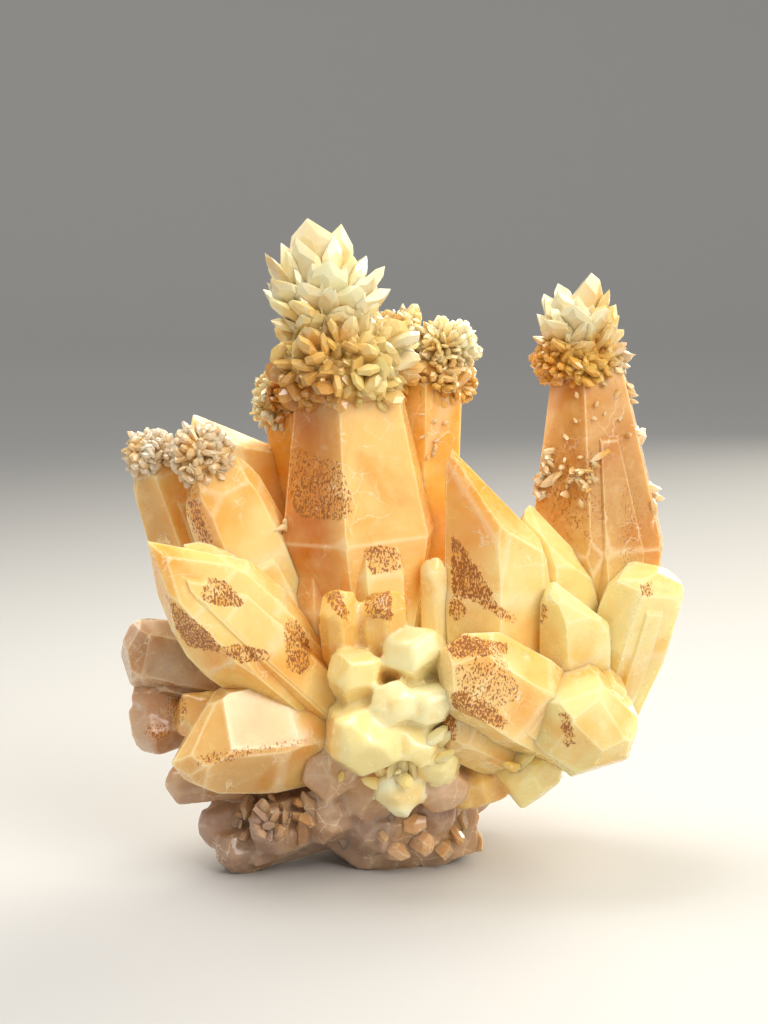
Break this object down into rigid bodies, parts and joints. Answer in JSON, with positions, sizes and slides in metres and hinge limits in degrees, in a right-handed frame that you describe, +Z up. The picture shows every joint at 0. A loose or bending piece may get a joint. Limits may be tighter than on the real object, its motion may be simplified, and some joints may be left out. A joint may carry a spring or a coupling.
{
  "type": "calcite specimen",
  "caption": "Upright cluster of honey-coloured calcite crystals, with pale druse caps on the tall ones, that stands on a small flat spot.",
  "frame": {"origin": "in the middle of the small flat spot that the specimen rests on", "axes": "+X to the right and -Y towards the viewer of the specimen's front, +Z up along the tall columns"},
  "size_m": [0.1136, 0.0656, 0.1312],
  "materials": {
    "honey_calcite": "translucent honey to orange, glossy crystal faces with rusty speckles",
    "pale_calcite": "translucent pale yellow to grey-brown, softly frosted crystal faces",
    "druse": "sparkling pale yellow to white small crystals"
  },
  "bodies": {
    "root": {"base_cluster": "pale_calcite", "front_right_crystal": "honey_calcite", "lower_front_crystal": "honey_calcite", "lower_right_crystal": "pale_calcite", "right_front_blade": "honey_calcite", "right_pale_blade": "pale_calcite", "right_rear_blade": "honey_calcite", "right_outer_crystal": "pale_calcite", "left_front_crystal": "honey_calcite", "lower_left_crystal": "honey_calcite", "left_crystal": "honey_calcite", "left_outer_crystal": "honey_calcite", "left_rear_crystal": "honey_calcite", "middle_column": "honey_calcite", "middle_right_column": "honey_calcite", "middle_left_column": "honey_calcite", "right_column": "honey_calcite", "far_left_crystal": "pale_calcite", "back_left_crystal": "honey_calcite", "back_middle_crystal": "honey_calcite", "back_right_crystal": "honey_calcite", "back_low_crystal": "pale_calcite", "middle_druse_cap": "druse", "middle_left_druse": "druse", "right_druse_cap": "druse", "left_outer_druse": "druse", "left_druse": "druse"}
  },
  "joints": []
}
